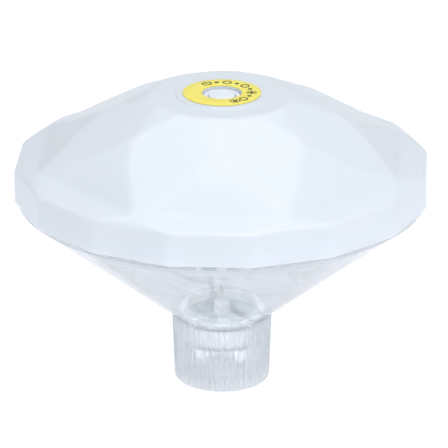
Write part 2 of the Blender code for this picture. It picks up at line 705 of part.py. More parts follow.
def make_button(parent):
    """Slightly domed button, flush with the plateau, and the plunger that it pushes."""
    top, low = PLATEAU_Z - 0.1, PLATEAU_Z - 1.3
    cap = [(0, low), (BUTTON_RADIUS, low), (BUTTON_RADIUS, top - 0.5), (BUTTON_RADIUS - 0.6, top),
           (0, top + 0.15)]
    piece("power_button", turned(cap, 28), "button_white", parent)
    piece("switch_plunger", rod(0, 0, 1.7, SWITCH_BOARD_TOP + 2.7, PLATEAU_Z - 2.7, 16),
          "chip_black", parent)


def make_boot(parent):
    """Silicone boot that seals the well under the button, and the ring that holds its edge."""
    z = PLATEAU_Z
    boot = [(0, z - 2.4), (4.2, z - 2.4), (6.2, WELL_FLOOR), (7.5, WELL_FLOOR),
            (7.5, WELL_FLOOR + 1.0), (6.6, WELL_FLOOR + 1.0), (4.9, z - 1.6), (0, z - 1.6)]
    piece("button_boot", turned(boot, 24), "silicone", parent)
    top = WELL_FLOOR - GAP
    ring = [(5.2, top - 1.0), (9.4, top - 1.0), (9.4, top), (5.2, top)]
    piece("boot_retainer", turned(ring, 24), "white_plastic", parent)


def make_switch(parent):
    low, top = SWITCH_BOARD_TOP - BOARD_THICKNESS, SWITCH_BOARD_TOP
    board = block((-17.0, -8.0, low), (17.0, 8.0, top))
    holes = [rod(side * SWITCH_POST_X, 0, 1.3, low - 1, top + 1, 12) for side in (-1, 1)]
    piece("switch_board", cut(board, *holes), "board_green", parent)
    shell = block((-3.0, -3.0, top + GAP), (3.0, 3.0, top + 3.8))
    piece("switch_shell", cut(shell, rod(0, 0, 2.0, top + 1.5, top + 5, 16)), "chip_black", parent)
    for k, side in enumerate((-1, 1)):
        piece(f"board_screw_{k + 1}", screw(side * SWITCH_POST_X, 0, low - GAP, top + 4.6, 2.0, 0.8),
              "steel", parent)


def make_wires(parent):
    """Supply wires from the cells to the switch board, and the lamp's pair down into the neck."""
    low = SWITCH_BOARD_TOP - BOARD_THICKNESS - GAP
    for colour, side in (("red", 1), ("black", -1)):
        y = -side * CELL_PITCH
        route = [(side * 29.0, y, LEAD_HOLE_Z), (side * 32.5, y, LEAD_HOLE_Z + 0.2),
                 (side * 35.0, y * 0.95, 99.4), (side * 31.0, y * 0.8, 105.5),
                 (side * 20.0, y * 0.5, 107.5), (side * 14.5, y * 0.37, 109.0),
                 (side * 14.0, y * 0.36, low)]
        wire(f"supply_wire_{colour}", route, 0.6, f"wire_{colour}", parent)
    for name, shift in (("lamp_wire_1", -0.8), ("lamp_wire_2", 0.8)):
        route = [(-15.5, 4 * shift, low), (-17.0, 4 * shift, 108.0), (-26.0, 2.4 * shift, 104.8),
                 (-36.0, 1.4 * shift, 101.5), (-41.0, shift, 94.4), (GROMMET_X, shift, DECK_TOP + 0.4),
                 (GROMMET_X, shift, DECK_LOW - 1.6), (-41.0, shift, 74.5), (-36.0, shift, 62.0),
                 (-27.0, shift, 50.5), (-15.0, shift, 43.2), (-5.0, shift, 40.6),
                 (-0.6, shift, 39.4), (0, shift, 37.6)]
        wire(name, route, 0.6, "wire_grey", parent)
    low = DRIVER_BOARD_Z + BOARD_THICKNESS + 2 * GAP
    plug = turned([(0, low), (2.1, low), (2.1, 35.0), (1.9, 37.2), (0, 37.2)], 16)
    piece("lead_plug", plug, "white_plastic", parent)


def build():
    clear_scene()
    cap = body("body_cap")
    hull = body("body_hull", (0, 0, NECK_Z), cap)
    cover = body("body_cover", (0, 0, SEAM), hull)
    door = body("body_door", (0, 0, DOOR_LOW), cover)
    button = body("body_button", (0, 0, PLATEAU_Z), cover)
    make_lens_cap(cap)
    make_lower_shell(hull)
    make_seals(hull)
    make_lamp(hull)
    make_top_cover(cover)
    make_label(cover)
    make_boot(cover)
    make_switch(cover)
    make_deck(cover)
    make_battery_box(cover)
    make_cells(cover)
    make_wires(cover)
    make_battery_door(door)
    make_button(button)


build()
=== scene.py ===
"""Looks of the floating pool light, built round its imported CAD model.

Lengths in this file are millimetres until a mesh is made. Angles are degrees, counted from -Y
towards +X, so that 0 is the middle of the cover's front sector.
"""
import json
import math

import bmesh
import bpy
import numpy as np
from mathutils import Matrix, Vector


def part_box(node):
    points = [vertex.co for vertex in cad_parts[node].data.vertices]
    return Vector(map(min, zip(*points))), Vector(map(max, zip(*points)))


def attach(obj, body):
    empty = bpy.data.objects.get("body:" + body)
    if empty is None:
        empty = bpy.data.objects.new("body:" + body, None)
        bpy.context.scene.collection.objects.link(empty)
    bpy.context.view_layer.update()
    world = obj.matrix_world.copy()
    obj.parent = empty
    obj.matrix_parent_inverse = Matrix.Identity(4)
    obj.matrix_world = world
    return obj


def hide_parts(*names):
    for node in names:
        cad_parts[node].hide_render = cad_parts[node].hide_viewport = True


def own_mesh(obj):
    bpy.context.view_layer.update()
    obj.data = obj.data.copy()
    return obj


MM = 0.001                     # metres in a millimetre
GAP = 0.3                      # between pieces that don't touch

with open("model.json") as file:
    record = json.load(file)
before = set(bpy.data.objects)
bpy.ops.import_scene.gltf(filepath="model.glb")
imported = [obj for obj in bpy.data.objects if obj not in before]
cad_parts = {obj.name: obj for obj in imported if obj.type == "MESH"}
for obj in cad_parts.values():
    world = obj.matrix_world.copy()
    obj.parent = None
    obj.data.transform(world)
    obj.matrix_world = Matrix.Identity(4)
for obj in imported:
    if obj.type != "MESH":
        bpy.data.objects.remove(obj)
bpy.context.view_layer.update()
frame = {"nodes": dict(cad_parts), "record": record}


def corners_mm(node):
    low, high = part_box(node)
    return low / MM, high / MM


# ---------------------------------------------------------------- sizes read from the frame

COVER_LOW, COVER_HIGH = corners_mm("top_cover")
CONE_LOW, CONE_HIGH = corners_mm("lower_shell")
CAP_HIGH = corners_mm("lens_cap")[1]
LABEL_LOW, LABEL_HIGH = corners_mm("label_ring")
BUTTON_LOW, BUTTON_HIGH = corners_mm("power_button")
HOUSING_LOW, HOUSING_HIGH = corners_mm("lamp_housing")
DECK_LOW, DECK_HIGH = corners_mm("deck_plate")
DOOR_LOW, DOOR_HIGH = corners_mm("battery_door")

SECTORS = 8                    # the cover repeats eight times round Z
SECTOR = 360.0 / SECTORS
CORNER = SECTOR / 4.0          # from the middle of a rim side to its corner
SEAM = COVER_LOW.z - GAP
PAD_HEIGHT = 0.5
PLATEAU_Z = COVER_HIGH.z - PAD_HEIGHT
RIM_RADIUS = COVER_HIGH.x / math.cos(math.radians(CORNER))
RIM_HEIGHT = 0.1647 * RIM_RADIUS
PLATEAU_RADIUS = 0.347 * RIM_RADIUS
PLATEAU_RISE = PLATEAU_Z - SEAM
STAR_RADIUS = 0.572 * RIM_RADIUS
SHOULDER_DISTANCE = 0.708 * RIM_RADIUS
SHOULDER_HALF_WIDTH = 0.134 * RIM_RADIUS
KITE_RADIUS = 0.92 * RIM_RADIUS
KITE_RISE = 0.2012 * RIM_RADIUS
COVER_WALL = 2.2
COVER_EDGE = 1.6               # softening of the edges between facets
COVER_BORE = 80.5
LEDGE_RISE = 8.0
PAD_RADIUS = 18.7
BUTTON_WELL = 7.8
WELL_DEPTH = 9.0

CAP_RADIUS = CAP_HIGH.x
NECK_Z = CAP_HIGH.z + GAP
FLANGE_RADIUS = CONE_HIGH.x
FLANGE_THICKNESS = 1.2
CONE_SLOPE = (SEAM - FLANGE_THICKNESS - NECK_Z) / (FLANGE_RADIUS - CAP_RADIUS)
SPIGOT_OUTER = 77.5
SPIGOT_BORE = 75.7
NECK_OUTER = 17.5
NECK_BORE = 16.2
NECK_END = CONE_LOW.z
CONE_WALL_Z = 2.85             # upright thickness of the cone's wall
GEM_UPPER = 0.56 * RIM_RADIUS  # rings of corners inside the cone
GEM_LOWER = 0.31 * RIM_RADIUS
GEM_LIFT = 1.6                 # how far the upper corners stand above the wall
CAP_BORE = 19.0
CAP_FLOOR = 2.4
CAP_TAPER = 0.95               # how much narrower the cap is at its foot
FOOT_FLAT = 15.8
FOOT_ROUNDING = 3.6
RIBS = 60
RIB_STEPS = 10                 # segments of one rib
RIB_DEPTH = 0.7
RIB_START = 2.6                # the ribs fade in above this height
RIB_FADE = 1.2

# Bayonets
COVER_LUGS = [45.0 + 90.0 * k for k in range(4)]
COVER_LUG_HALF = 8.0
COVER_LUG_LOW = SEAM + 3.0
COVER_LUG_TOP = SEAM + 5.0
NECK_LUGS = [60.0 + 120.0 * k for k in range(3)]
NECK_LUG_HALF = 13.0
CAP_LUG_LOW = 22.8
CAP_LUG_TOP = 24.6

# Deck, its posts and the battery door
POST_ANGLES = [22.5 + 90.0 * k for k in range(4)]
POST_CIRCLE = 66.0
POST_RADIUS = 3.4
POST_TOP = SEAM + 30
PILOT_RADIUS = 1.5
DECK_THICKNESS = 2.0
BOX_HALF = (28.6, 23.6)        # inside of the battery box
BOX_SCREW_X = 34.0
RAIL_HALF = 27.0
LEAD_HOLE_X = -42.0
DOOR_THICKNESS = 1.7
DOOR_RIDGES = (20.0, 23.0, 26.0)

# Label
LABEL_BORE = -0.51 * LABEL_LOW.x
MARK_LOW = LABEL_HIGH.z + 0.01
MARK_TOP = LABEL_HIGH.z + 0.08
MARK_CIRCLE = 12.0
MARK_STROKE = 0.6
FIRST_MARK = 214.0
MARK_STEP = 20.5

AIM_HEIGHT = 82.6              # point that the camera and the lights are set from


# ---------------------------------------------------------------- mesh tools

def polar(radius, angle, z):
    turn = math.radians(angle)
    return Vector((radius * math.sin(turn), -radius * math.cos(turn), z))


def rounded(outline, radius, steps=4):
    """Round the corners of a flat outline. It closes on itself unless it starts on the axis."""
    is_closed = outline[0][0] > 0
    last = len(outline) - 1
    result = []
    for i, point in enumerate(outline):
        if not is_closed and i in (0, last):
            result.append(point)
            continue
        here = Vector(point)
        back = Vector(outline[i - 1]) - here
        ahead = Vector(outline[(i + 1) % len(outline)]) - here
        half = back.angle(ahead) / 2
        if half > math.radians(86):     # nearly straight
            result.append(point)
            continue
        room = 0.45 * min(back.length, ahead.length)
        reach = min(radius / math.tan(half), room)
        arm = (back.normalized() + ahead.normalized()).normalized() * (reach / math.cos(half))
        centre = here + arm
        start = here + back.normalized() * reach - centre
        end = here + ahead.normalized() * reach - centre
        sweep = start.angle_signed(end)
        for k in range(steps + 1):
            turned_arm = start.copy()
            turned_arm.rotate(Matrix.Rotation(-sweep * k / steps, 2))
            result.append(tuple(centre + turned_arm))
    return result


def turned(outline, segments=96, reach=None):
    """Turn an outline round Z. reach(angle, radius, z) may give another radius for a vertex."""
    bm = bmesh.new()
    rings = []
    for radius, z in outline:
        if radius <= 1e-6:
            rings.append([bm.verts.new((0, 0, z))] * segments)
            continue
        ring = []
        for i in range(segments):
            angle = 360 * i / segments
            ring.append(bm.verts.new(polar(reach(angle, radius, z) if reach else radius, angle, z)))
        rings.append(ring)
    following = rings[1:] if outline[0][0] <= 1e-6 else rings[1:] + rings[:1]
    for ring, after in zip(rings, following):
        for i in range(segments):
            j = (i + 1) % segments
            corners = dict.fromkeys([ring[i], ring[j], after[j], after[i]])
            if len(corners) > 2:
                bm.faces.new(list(corners))
    bmesh.ops.recalc_face_normals(bm, faces=bm.faces)
    return bm


def prism(outline, low, high):
    """An upright body over an outline of (x, y)."""
    bm = bmesh.new()
    base = bm.faces.new([bm.verts.new((x, y, low)) for x, y in outline])
    grown = bmesh.ops.extrude_face_region(bm, geom=[base])["geom"]
    tops = [item for item in grown if isinstance(item, bmesh.types.BMVert)]
    bmesh.ops.translate(bm, verts=tops, vec=(0, 0, high - low))
    bmesh.ops.recalc_face_normals(bm, faces=bm.faces)
    return bm


def block(low, high):
    (x0, y0, z0), (x1, y1, z1) = low, high
    return prism([(x0, y0), (x1, y0), (x1, y1), (x0, y1)], z0, z1)


def arc_block(inner, outer, low, high, start, end, steps=10):
    """A block that follows a circle, from one angle to another."""
    angles = [start + (end - start) * i / steps for i in range(steps + 1)]
    ring = [polar(outer, a, 0) for a in angles] + [polar(inner, a, 0) for a in reversed(angles)]
    return prism([(p.x, p.y) for p in ring], low, high)


def bar_along_x(outline, start, end):
    """A bar whose cross-section is an outline of (y, z)."""
    bm = prism(outline, start, end)
    for vert in bm.verts:
        vert.co = (vert.co.z, vert.co.x, vert.co.y)
    return bm


def softened(bm, width, sharpest=35.0, segments=2):
    """Round every edge that is sharper than an angle."""
    edges = [e for e in bm.edges if e.calc_face_angle(0) > math.radians(sharpest)]
    bmesh.ops.bevel(bm, geom=edges, offset=width, offset_type="OFFSET", segments=segments,
                    profile=0.5, affect="EDGES", clamp_overlap=True)
    return bm


def tube(route, radius, sides=12, steps=5):
    """A round wire along a smooth Catmull-Rom curve through the route's points."""
    knots = [Vector(p) for p in route]
    knots = [knots[0] * 2 - knots[1]] + knots + [knots[-1] * 2 - knots[-2]]
    points = []
    for before, start, end, after in zip(knots, knots[1:], knots[2:], knots[3:]):
        for i in range(steps):
            t = i / steps
            points.append((start * 2 + (end - before) * t
                           + (before * 2 - start * 5 + end * 4 - after) * t ** 2
                           + (start * 3 - before - end * 3 + after) * t ** 3) / 2)
    points.append(knots[-2])
    bm = bmesh.new()
    rings = []
    side = (points[1] - points[0]).orthogonal().normalized()
    for i, point in enumerate(points):
        ahead = (points[min(i + 1, len(points) - 1)] - points[max(i - 1, 0)]).normalized()
        side = (side - ahead * side.dot(ahead)).normalized()
        other = ahead.cross(side)
        rings.append([bm.verts.new(point + (side * math.cos(t) + other * math.sin(t)) * radius)
                      for t in (k * math.tau / sides for k in range(sides))])
    for ring, after in zip(rings, rings[1:]):
        for k in range(sides):
            m = (k + 1) % sides
            bm.faces.new([ring[k], ring[m], after[m], after[k]])
    bm.faces.new(rings[0])
    bm.faces.new(list(reversed(rings[-1])))
    bmesh.ops.recalc_face_normals(bm, faces=bm.faces)
    return bm


def moved(bm, x=0.0, y=0.0, z=0.0):
    bmesh.ops.translate(bm, verts=bm.verts, vec=(x, y, z))
    return bm


def rod(x, y, radius, low, high, segments=24):
    return moved(turned([(0, low), (radius, low), (radius, high), (0, high)], segments), x, y)


def gathered(shapes):
    """Several shapes as one mesh of loose parts. The shapes are used up."""
    total = bmesh.new()
    for shape in shapes:
        mesh = bpy.data.meshes.new("part_of_group")
        shape.to_mesh(mesh)
        shape.free()
        total.from_mesh(mesh)
        bpy.data.meshes.remove(mesh)
    return total


def raw_object(name, bm):
    mesh = bpy.data.meshes.new(name)
    bm.to_mesh(mesh)
    bm.free()
    item = bpy.data.objects.new(name, mesh)
    bpy.context.scene.collection.objects.link(item)
    return item


def combined(target, tool, operation):
    """Exact Boolean of two shapes, which are used up."""
    target_object, tool_object = raw_object("target", target), raw_object("tool", tool)
    modifier = target_object.modifiers.new("combine", "BOOLEAN")
    modifier.operation = operation
    modifier.solver = "EXACT"
    modifier.object = tool_object
    bpy.context.view_layer.update()
    result = bmesh.new()
    result.from_object(target_object, bpy.context.evaluated_depsgraph_get())
    for item in (target_object, tool_object):
        mesh = item.data
        bpy.data.objects.remove(item)
        bpy.data.meshes.remove(mesh)
    bmesh.ops.remove_doubles(result, verts=result.verts, dist=0.0005)
    return result


def cut(target, *tools):
    return combined(target, gathered(tools), "DIFFERENCE")


def joined(target, *tools):
    return combined(target, gathered(tools), "UNION")


def show(name, bm, body, material, replaced=(), smooth_angle=32.0, weighted=False):
    """Make a visible piece from a shape in millimetres and let it ride on its body."""
    bmesh.ops.scale(bm, vec=(MM, MM, MM), verts=bm.verts)
    item = raw_object(name, bm)
    item.data.shade_smooth()
    item.data.set_sharp_from_angle(angle=math.radians(smooth_angle))
    if weighted:
        normals = item.modifiers.new("flat_facets", "WEIGHTED_NORMAL")
        normals.keep_sharp = True
        normals.weight = 100
    item.data.materials.append(material)
    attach(item, body)
    if replaced:
        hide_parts(*replaced)
    return item


# ---------------------------------------------------------------- materials

PALE_GLOW = (0.95, 0.98, 1, 1)
# painted glow on the housing's white, and on the LED board, socket and plug made of it; these parts
# are not lit
HOUSING_PAINTED_GLOW = 0.75
# painted highlight on the LED domes: they glow though the lamp is off
LED_PAINTED_HIGHLIGHT = 0.5
# painted glow on the clear neck beside the housing, with a painted shade line at its end
NECK_PAINTED_GLOW = 0.14
FLOOR_GLOW = 1.02


def shader_of(name):
    material = bpy.data.materials.new(name)
    material.use_nodes = True
    return material, material.node_tree, material.node_tree.nodes["Principled BSDF"]


def noise(tree, scale, detail=3.0):
    """A noise texture in the part's own coordinates. Scale counts features per metre."""
    place = tree.nodes.new("ShaderNodeTexCoord")
    texture = tree.nodes.new("ShaderNodeTexNoise")
    texture.inputs["Scale"].default_value = scale
    texture.inputs["Detail"].default_value = detail
    tree.links.new(place.outputs["Object"], texture.inputs["Vector"])
    return texture.outputs["Fac"]


def spread(tree, factor, low, high):
    """Map a 0-1 factor onto a range of values."""
    node = tree.nodes.new("ShaderNodeMapRange")
    node.inputs["From Min"].default_value = 0.3
    node.inputs["From Max"].default_value = 0.7
    node.inputs["To Min"].default_value = low
    node.inputs["To Max"].default_value = high
    tree.links.new(factor, node.inputs["Value"])
    return node.outputs["Result"]


def tones(tree, factor, dark, light):
    node = tree.nodes.new("ShaderNodeValToRGB")
    node.color_ramp.elements[0].position = 0.3
    node.color_ramp.elements[0].color = (*dark, 1)
    node.color_ramp.elements[1].position = 0.7
    node.color_ramp.elements[1].color = (*light, 1)
    tree.links.new(factor, node.inputs["Fac"])
    return node.outputs["Color"]


def grain(tree, shader, scale, strength, distance=0.0001):
    bump = tree.nodes.new("ShaderNodeBump")
    bump.inputs["Strength"].default_value = strength
    bump.inputs["Distance"].default_value = distance
    tree.links.new(noise(tree, scale, 4.0), bump.inputs["Height"])
    tree.links.new(bump.outputs["Normal"], shader.inputs["Normal"])


def plastic(name, dark, light, roughness=(0.35, 0.45), tone_scale=60, grain_scale=2500, bump=0.08,
            subsurface=0.0, metallic=0.0):
    """Opaque or milky moulded material with uneven tone and a fine moulded grain."""
    material, tree, shader = shader_of(name)
    tree.links.new(tones(tree, noise(tree, tone_scale), dark, light), shader.inputs["Base Color"])
    gloss = spread(tree, noise(tree, tone_scale * 5), *roughness)
    tree.links.new(gloss, shader.inputs["Roughness"])
    shader.inputs["Metallic"].default_value = metallic
    if subsurface:
        shader.inputs["Subsurface Weight"].default_value = subsurface
        shader.inputs["Subsurface Radius"].default_value = (1.0, 1.0, 1.1)
        shader.inputs["Subsurface Scale"].default_value = 0.004
    grain(tree, shader, grain_scale, bump)
    return material


def clear_plastic(name, tint, clearness, alpha, roughness, wave_scale, bump):
    """See-through moulding, a little milky, with a surface that waves."""
    material, tree, shader = shader_of(name)
    tree.links.new(tones(tree, noise(tree, 60), [0.96 * c for c in tint], tint),
                   shader.inputs["Base Color"])
    shader.inputs["Transmission Weight"].default_value = clearness
    shader.inputs["Alpha"].default_value = alpha
    shader.inputs["IOR"].default_value = 1.46
    tree.links.new(spread(tree, noise(tree, 90), *roughness), shader.inputs["Roughness"])
    grain(tree, shader, wave_scale, bump, 0.0006)
    return material


def glowing(material, strength, colour=PALE_GLOW):
    shader = material.node_tree.nodes["Principled BSDF"]
    shader.inputs["Emission Color"].default_value = colour
    shader.inputs["Emission Strength"].default_value = strength


def paint_neck_glow_and_shade(material, end, top, glow):
    """Paint a glow onto the clear neck beside the white housing, above a painted shade line that
    darkens the neck's end.
    """
    tree = material.node_tree
    shader = tree.nodes["Principled BSDF"]
    place = tree.nodes.new("ShaderNodeTexCoord")
    split = tree.nodes.new("ShaderNodeSeparateXYZ")
    tree.links.new(place.outputs["Object"], split.inputs["Vector"])
    height = tree.nodes.new("ShaderNodeMapRange")
    height.inputs["From Min"].default_value = end
    height.inputs["From Max"].default_value = top
    tree.links.new(split.outputs["Z"], height.inputs["Value"])

    def bands(first, *others, last):
        """Colours at fractions of the height between the neck's end and its top."""
        node = tree.nodes.new("ShaderNodeValToRGB")
        elements = node.color_ramp.elements
        elements[0].position, elements[0].color = first
        elements[1].position, elements[1].color = last
        for position, colour in others:
            elements.new(position).color = colour
        tree.links.new(height.outputs["Result"], node.inputs["Fac"])
        return node.outputs["Color"]

    black, grey, white = (0, 0, 0, 1), (0.13, 0.14, 0.18, 1), (1, 1, 1, 1)
    # painted glow: a band of emission over the neck beside the housing
    shine = bands((0.0, black), (0.05, black), (0.08, PALE_GLOW), (0.94, PALE_GLOW),
                  last=(1.0, black))
    tree.links.new(shine, shader.inputs["Emission Color"])
    shader.inputs["Emission Strength"].default_value = glow
    # painted shade: the base colour is darkened into a line at the neck's end
    shade = bands((0.0, grey), (0.06, grey), last=(0.09, white))
    darken = tree.nodes.new("ShaderNodeMix")
    darken.data_type = "RGBA"
    darken.blend_type = "MULTIPLY"
    darken.inputs["Factor"].default_value = 1
    tree.links.new(shader.inputs["Base Color"].links[0].from_socket, darken.inputs["A"])
    tree.links.new(shade, darken.inputs["B"])
    tree.links.new(darken.outputs["Result"], shader.inputs["Base Color"])


# Each plastic: darkest and lightest tone, range of roughness, scales of the tone and of the grain,
# and how strong the grain is.
FROSTED = plastic("frosted_white", (0.82, 0.885, 0.99), (0.84, 0.90, 1.0),
                  (0.28, 0.36), 25, 1800, 0.03, subsurface=0.5)
WHITE = plastic("white_plastic", (0.91, 0.92, 0.935), (0.94, 0.95, 0.965), (0.40, 0.50))
# Housing white with a painted glow that lifts it as if light came through the clear walls; the LED
# board, the lead's socket and its plug share it.
HOUSING = plastic("housing_white_painted_glow", (0.94, 0.955, 0.975), (0.96, 0.97, 0.985), (0.40, 0.50))
glowing(HOUSING, HOUSING_PAINTED_GLOW)
YELLOW = plastic("yellow_print", (0.99, 0.86, 0.15), (1.0, 0.90, 0.19),
                 (0.38, 0.48), 120, 4000, 0.04)
INK = plastic("dark_ink", (0.09, 0.09, 0.03), (0.12, 0.12, 0.045),
              (0.5, 0.6), 200, 4000, 0.05)
BUTTON = plastic("button_white", (0.84, 0.91, 0.96), (0.88, 0.94, 0.98),
                 (0.35, 0.42), 100, 2500, 0.05)
SILICONE = plastic("silicone", (0.80, 0.81, 0.88), (0.84, 0.85, 0.92),
                   (0.5, 0.6), 150, 2500, 0.1)
RUBBER = plastic("black_rubber", (0.03, 0.03, 0.035), (0.05, 0.05, 0.055),
                 (0.6, 0.75), 150, 3000, 0.15)
BOARD = plastic("board_green", (0.07, 0.26, 0.13), (0.12, 0.36, 0.19),
                (0.35, 0.5), 700, 3000, 0.1)
CHIP = plastic("chip_black", (0.03, 0.03, 0.03), (0.05, 0.05, 0.05),
               (0.45, 0.6), 300, 5000, 0.2)
STEEL = plastic("nickel", (0.62, 0.61, 0.59), (0.72, 0.71, 0.69),
                (0.2, 0.35), 300, 6000, 0.05, metallic=1.0)
CELL = plastic("cell_wrap", (0.10, 0.13, 0.18), (0.14, 0.17, 0.23),
               (0.25, 0.35), 80, 4000, 0.03)
WIRE_RED = plastic("wire_red", (0.50, 0.04, 0.03), (0.60, 0.06, 0.05),
                   (0.4, 0.5), 300, 4000, 0.05)
WIRE_BLACK = plastic("wire_black", (0.03, 0.03, 0.03), (0.05, 0.05, 0.05),
                     (0.4, 0.5), 300, 4000, 0.05)
WIRE_GREY = plastic("wire_grey", (0.50, 0.51, 0.52), (0.60, 0.61, 0.62),
                    (0.4, 0.5), 300, 4000, 0.05)

# Each clear plastic: tint, share of light passed on, alpha, range of roughness, and the scale and
# the strength of its waves.
CLEAR_CONE = clear_plastic("clear_cone", (0.83, 0.865, 0.91), 0.74, 0.64, (0.01, 0.04), 45, 0.03)
# The cone's neck gets a painted glow beside the housing and a painted shade line at its end.
paint_neck_glow_and_shade(CLEAR_CONE, NECK_END * MM, (NECK_Z - GAP) * MM, NECK_PAINTED_GLOW)
CLEAR_CAP = clear_plastic("clear_cap", (0.83, 0.86, 0.89), 0.50, 0.62, (0.02, 0.05), 120, 0.01)
# The LED domes glow faintly as a painted highlight, so they show as brighter blobs; the lamp is
# off.
LED_CLEAR = clear_plastic("led_epoxy_painted_highlight", (0.95, 0.97, 1.0), 0.6, 0.9, (0.02, 0.04), 200, 0.05)
glowing(LED_CLEAR, LED_PAINTED_HIGHLIGHT)

SLOT_MATERIALS = {
    "frosted_white": FROSTED, "white_plastic": WHITE, "clear_plastic": CLEAR_CONE,
    "yellow_print": YELLOW, "button_white": BUTTON, "silicone": SILICONE, "black_rubber": RUBBER,
    "board_green": BOARD, "chip_black": CHIP, "steel": STEEL, "led_clear": LED_CLEAR,
    "cell_wrap": CELL, "wire_red": WIRE_RED, "wire_black": WIRE_BLACK, "wire_grey": WIRE_GREY,
}


def dress_cad_nodes():
    """Give every CAD node that stays visible its finished material."""
    slots = {entry["node"]: entry["material_slot"] for entry in frame["record"]["subparts"]}
    for name, item in frame["nodes"].items():
        item.data.materials.clear()
        item.data.materials.append(SLOT_MATERIALS[slots[name]])


# ---------------------------------------------------------------- float cover

def cover_corners():
    """Corners of the faceted cover, by kind and number, with heights counted from the seam."""
    plateau_edge = PLATEAU_RADIUS * math.cos(math.radians(CORNER))
    slope = (PLATEAU_RISE - KITE_RISE) / (KITE_RADIUS - plateau_edge)

    def on_kite(radius, from_kite_axis):
        reach = radius * math.cos(math.radians(from_kite_axis))
        return PLATEAU_RISE - slope * (reach - plateau_edge)

    half = SECTOR / 2
    shoulder_radius = math.hypot(SHOULDER_DISTANCE, SHOULDER_HALF_WIDTH)
    shoulder_angle = math.degrees(math.atan2(SHOULDER_HALF_WIDTH, SHOULDER_DISTANCE))
    shoulder_rise = on_kite(shoulder_radius, half - shoulder_angle)
    corners = {}
    for i in range(SECTORS):
        axis = i * SECTOR
        corners["star", i] = polar(STAR_RADIUS, axis, on_kite(STAR_RADIUS, half))
        corners["left", i] = polar(shoulder_radius, axis - shoulder_angle, shoulder_rise)
        corners["right", i] = polar(shoulder_radius, axis + shoulder_angle, shoulder_rise)
        corners["kite", i] = polar(KITE_RADIUS, axis + half, KITE_RISE)
    for j in range(2 * SECTORS):
        angle = (2 * j - 1) * CORNER
        corners["plateau", j] = polar(PLATEAU_RADIUS, angle, PLATEAU_RISE)
        corners["rim", j] = polar(RIM_RADIUS, angle, RIM_HEIGHT)
        corners["base", j] = polar(RIM_RADIUS, angle, GAP)
    return corners


def cover_facets():
    """Every facet of the cover as a ring of corners, seen anticlockwise from outside."""
    facets = []
    count = 2 * SECTORS
    for i in range(SECTORS):
        here, after, beyond = 2 * i, (2 * i + 1) % count, (2 * i + 2) % count
        before, ahead = (i - 1) % SECTORS, (i + 1) % SECTORS
        facets += [
            [("star", i), ("plateau", after), ("plateau", here)],
            [("kite", i), ("left", ahead), ("star", ahead), ("plateau", beyond),
             ("plateau", after), ("star", i), ("right", i)],
            [("left", i), ("right", i), ("star", i)],
            [("kite", before), ("kite", i), ("right", i), ("left", i)],
            [("rim", here), ("rim", after), ("kite", i), ("kite", before)],
            [("rim", after), ("rim", beyond), ("kite", i)],
        ]
    facets += [[("base", j), ("base", (j + 1) % count), ("rim", (j + 1) % count), ("rim", j)]
               for j in range(count)]
    facets.append([("plateau", j) for j in range(count)])
    facets.append([("base", j) for j in reversed(range(count))])
    return facets


def facet_normal(points):
    total = Vector()
    for a, b in zip(points, points[1:] + points[:1]):
        total += a.cross(b)
    return total.normalized()


def moved_inwards(corners, facets, wall):
    """Corners of the same body with every facet moved inwards by the wall's thickness."""
    planes = {name: [] for name in corners}
    for facet in facets:
        normal = facet_normal([corners[name] for name in facet])
        for name in facet:
            planes[name].append((normal, normal.dot(corners[name]) - wall))
    result = {}
    for name, sides in planes.items():
        normals = np.array([list(side[0]) for side in sides])
        reaches = np.array([side[1] for side in sides])
        result[name] = Vector(np.linalg.lstsq(normals, reaches, rcond=None)[0])
    return result


def faceted_body(corners, facets, edge=0.0):
    """A closed body from its facets, with every edge above the base softened."""
    bm = bmesh.new()
    verts = {name: bm.verts.new(place + Vector((0, 0, SEAM))) for name, place in corners.items()}
    for facet in facets:
        bm.faces.new([verts[name] for name in facet])
    if edge:
        base = {verts[name] for name in verts if name[0] == "base"}
        soft = [e for e in bm.edges if not base.issuperset(e.verts)]
        bmesh.ops.bevel(bm, geom=soft, offset=edge, offset_type="OFFSET", segments=3, profile=0.5,
                        affect="EDGES", clamp_overlap=True)
    bmesh.ops.recalc_face_normals(bm, faces=bm.faces)
    return bm


def make_cover():
    facets = cover_facets()
    shell = faceted_body(cover_corners(), facets, COVER_EDGE)
    top, pad_root = PLATEAU_Z + PAD_HEIGHT, PLATEAU_Z - 0.5
    pad = [(0, pad_root), (PAD_RADIUS, pad_root), (PAD_RADIUS, top), (0, top)]
    shell = joined(shell, turned(rounded(pad, 0.3), 128))
    inner = moved_inwards(cover_corners(), facets, COVER_WALL)
    for name, place in inner.items():
        if name[0] == "base":
            place.z = LEDGE_RISE
    bore_low, bore_top = SEAM - 2, SEAM + LEDGE_RISE + 0.8
    bore = [(0, bore_low), (COVER_BORE, bore_low), (COVER_BORE, bore_top), (0, bore_top)]
    lugs = [arc_block(COVER_BORE - 2.2, COVER_BORE + 1.0, COVER_LUG_LOW, COVER_LUG_TOP,
                      a - COVER_LUG_HALF, a + COVER_LUG_HALF) for a in COVER_LUGS]
    posts = [rod(*polar(POST_CIRCLE, a, 0).xy, POST_RADIUS, DECK_HIGH.z + GAP, POST_TOP)
             for a in POST_ANGLES]
    cavity = cut(joined(faceted_body(inner, facets), turned(bore, 192)), *lugs, *posts)
    well_low, well_mouth = PLATEAU_Z - WELL_DEPTH, BUTTON_WELL + 0.5
    well = [(0, well_low), (BUTTON_WELL, well_low), (BUTTON_WELL, top - 0.25),
            (well_mouth, top + 0.3), (well_mouth, top + 1.0), (0, top + 1.0)]
    pilots = [rod(*polar(POST_CIRCLE, a, 0).xy, PILOT_RADIUS, DECK_HIGH.z - 1, DECK_HIGH.z + 8, 16)
              for a in POST_ANGLES]
    shell = cut(cut(shell, cavity), turned(well), *pilots)
    show("float_cover", shell, "cover", FROSTED, ("top_cover",),
         smooth_angle=40.0, weighted=True)


# ---------------------------------------------------------------- clear cone

def cone_height(radius):
    return NECK_Z + (radius - CAP_RADIUS) * CONE_SLOPE


